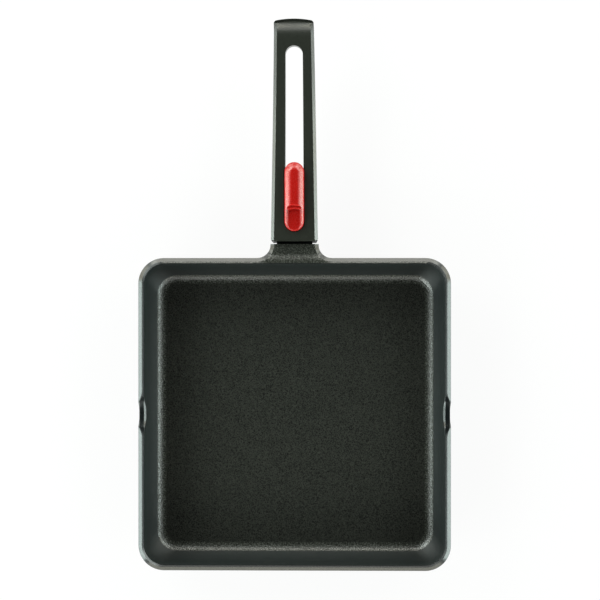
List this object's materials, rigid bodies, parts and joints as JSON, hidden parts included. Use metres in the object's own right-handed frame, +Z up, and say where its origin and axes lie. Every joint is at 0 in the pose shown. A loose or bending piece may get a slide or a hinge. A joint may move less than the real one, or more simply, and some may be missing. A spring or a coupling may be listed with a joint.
{
  "type": "griddle pan",
  "caption": "Square cast griddle pan with a smooth floor, pouring dips in two rims and a slotted hook-on handle locked by a sprung thumb slide.",
  "frame": {"origin": "centre of the pan's base, on the surface that the pan stands on", "axes": "+Z up, +Y from the middle of the pan towards the handle's end, +X across the pan"},
  "size_m": [0.28, 0.4917, 0.0614],
  "materials": {
    "non_stick_aluminium": "dark grained non-stick coating on cast aluminium",
    "phenolic": "satin black phenolic moulding",
    "red_plastic": "semi-gloss red plastic",
    "stainless_steel": "brushed stainless steel",
    "zinc_steel": "bright zinc plating",
    "black_steel": "black oxide on steel",
    "spring_steel": "drawn spring wire",
    "nylon": "moulded dark nylon"
  },
  "bodies": {
    "pan": {"pan_body": "non_stick_aluminium", "induction_plate": "stainless_steel", "lug_tongue": "black_steel", "tongue_screw_left": "zinc_steel", "tongue_screw_right": "zinc_steel", "handle_body": "phenolic", "handle_cover": "phenolic", "cover_screw_front_left": "zinc_steel", "cover_screw_front_right": "zinc_steel", "cover_screw_rear_left": "zinc_steel", "cover_screw_rear_right": "zinc_steel", "catch_pin": "stainless_steel", "spring_guide_pin": "stainless_steel", "return_spring": "spring_steel"},
    "slide": {"release_slide": "red_plastic", "slide_carriage": "nylon", "blocking_bolt": "stainless_steel", "slide_screw_front": "zinc_steel", "slide_screw_rear": "zinc_steel"}
  },
  "joints": [
    {"name": "release_slide_travel", "type": "slide", "parent": "pan", "child": "slide", "axis": [0, 1, 0], "range_m": [0, 0.008], "stiffness_N_per_m": 400, "springref_m": -0.01, "deforming": ["return_spring"]}
  ]
}
